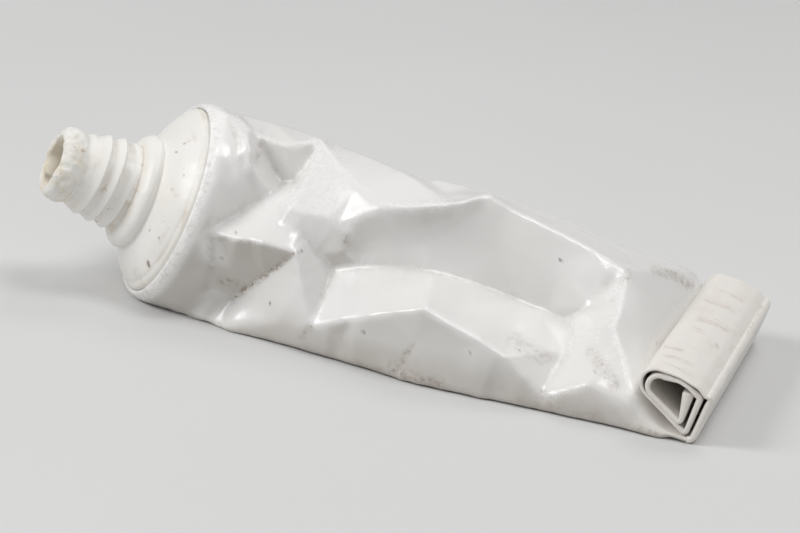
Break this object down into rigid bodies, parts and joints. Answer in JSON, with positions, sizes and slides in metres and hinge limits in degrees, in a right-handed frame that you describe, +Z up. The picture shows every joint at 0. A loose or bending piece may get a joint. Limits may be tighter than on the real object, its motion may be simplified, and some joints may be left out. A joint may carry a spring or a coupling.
{
  "type": "squeezed toothpaste tube",
  "caption": "Empty crumpled squeeze tube lying on its side, with a bare threaded nozzle, a round shoulder, a dented sleeve and a rolled-up tail.",
  "frame": {"origin": "middle of the bottom of the tube's box, on the surface it lies on", "axes": "+X runs from the nozzle towards the rolled tail, +Y is the far side, +Z is up"},
  "size_m": [0.1279, 0.0588, 0.0353],
  "materials": {
    "head_plastic": "satin warm off-white moulded polyethylene, grubby in the thread grooves, crusted lip",
    "sleeve_film": "glossy white laminate film, creased, scuffed, with brown dirt in the folds"
  },
  "bodies": {
    "root": {"head": "head_plastic", "sleeve": "sleeve_film"}
  },
  "joints": []
}
